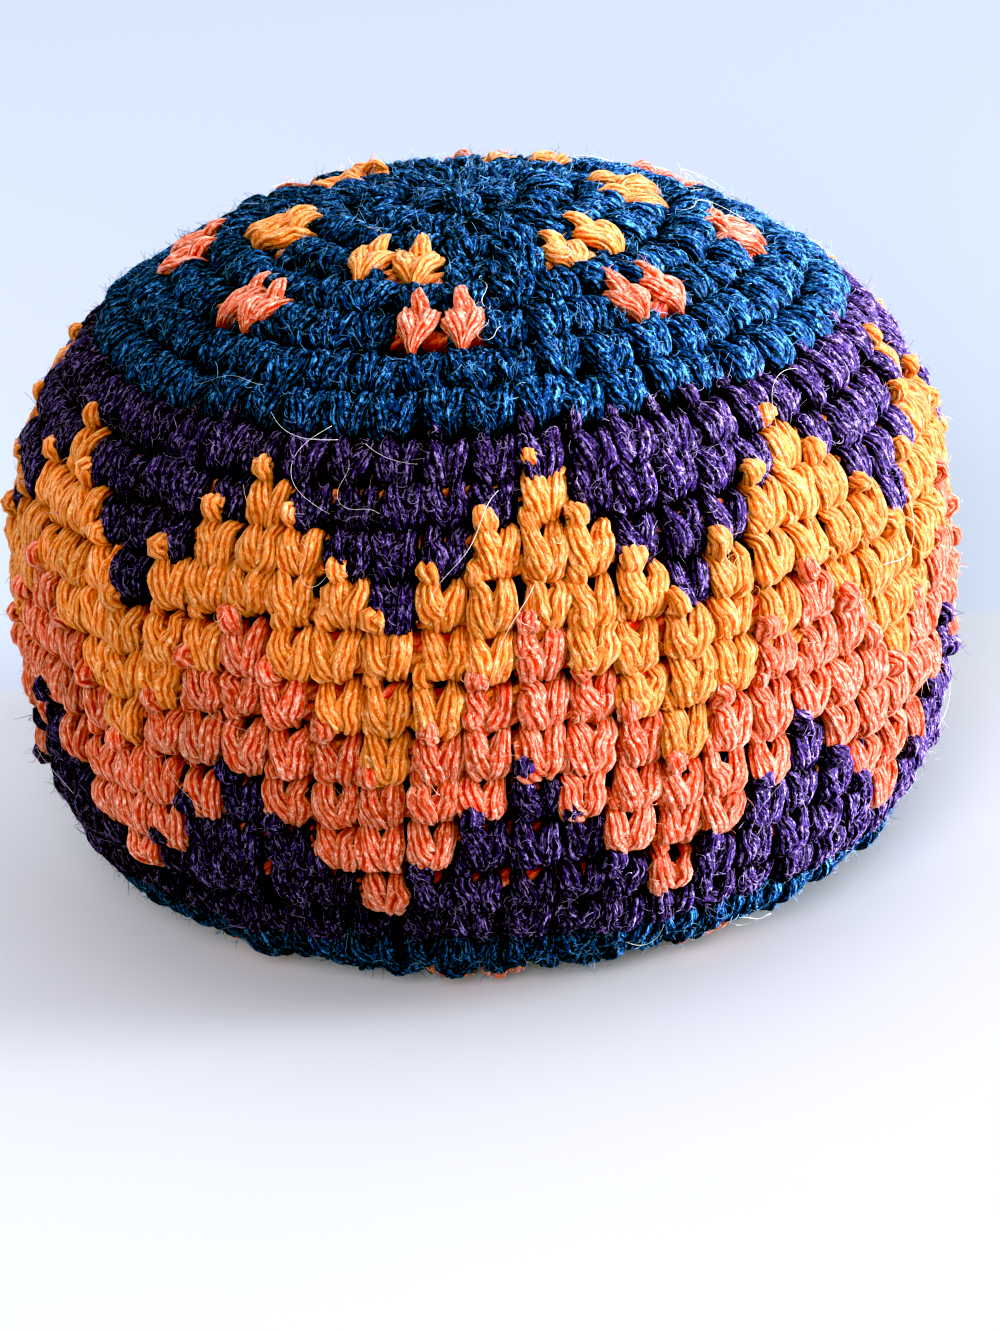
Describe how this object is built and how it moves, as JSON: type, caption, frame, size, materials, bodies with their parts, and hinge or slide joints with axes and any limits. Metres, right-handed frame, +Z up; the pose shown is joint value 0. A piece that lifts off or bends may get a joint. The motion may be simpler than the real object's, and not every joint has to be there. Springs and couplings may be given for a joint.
{
  "type": "footbag",
  "caption": "Soft crocheted footbag, a squat pellet-filled ball with zigzag colour bands and stitch motifs on crown and base, resting on its flattened base.",
  "frame": {"origin": "middle of the flat underside the bag rests on, at the bottom centre of its box", "axes": "+Z up through the crown, -Y towards the side the picture shows, +X to its right"},
  "size_m": [0.057, 0.057, 0.0436],
  "materials": {
    "blue_yarn": "matte, fuzzy",
    "purple_yarn": "matte, fuzzy",
    "gold_yarn": "matte, soft sheen",
    "coral_yarn": "matte, soft sheen",
    "liner_film": "thin woven nylon, satin",
    "tie_cord": "matte cord",
    "pellets": "matte"
  },
  "bodies": {
    "root": {"crown_panel": "blue_yarn", "upper_purple_band": "purple_yarn", "gold_zigzag_band": "gold_yarn", "coral_zigzag_band": "coral_yarn", "lower_purple_band": "purple_yarn", "base_panel": "blue_yarn", "crown_gold_motif_1": "gold_yarn", "crown_gold_motif_2": "gold_yarn", "crown_gold_motif_3": "gold_yarn", "crown_gold_motif_4": "gold_yarn", "crown_gold_motif_5": "gold_yarn", "crown_gold_motif_6": "gold_yarn", "crown_coral_motif_1": "coral_yarn", "crown_coral_motif_2": "coral_yarn", "crown_coral_motif_3": "coral_yarn", "crown_coral_motif_4": "coral_yarn", "crown_coral_motif_5": "coral_yarn", "crown_coral_motif_6": "coral_yarn", "crown_coral_motif_7": "coral_yarn", "crown_coral_motif_8": "coral_yarn", "base_gold_motif_1": "gold_yarn", "base_gold_motif_2": "gold_yarn", "base_gold_motif_3": "gold_yarn", "base_gold_motif_4": "gold_yarn", "base_gold_motif_5": "gold_yarn", "base_gold_motif_6": "gold_yarn", "base_coral_motif_1": "coral_yarn", "base_coral_motif_2": "coral_yarn", "base_coral_motif_3": "coral_yarn", "base_coral_motif_4": "coral_yarn", "base_coral_motif_5": "coral_yarn", "base_coral_motif_6": "coral_yarn", "base_coral_motif_7": "coral_yarn", "base_coral_motif_8": "coral_yarn", "inner_liner": "liner_film", "liner_tie": "tie_cord", "pellet_filling": "pellets"}
  },
  "joints": []
}
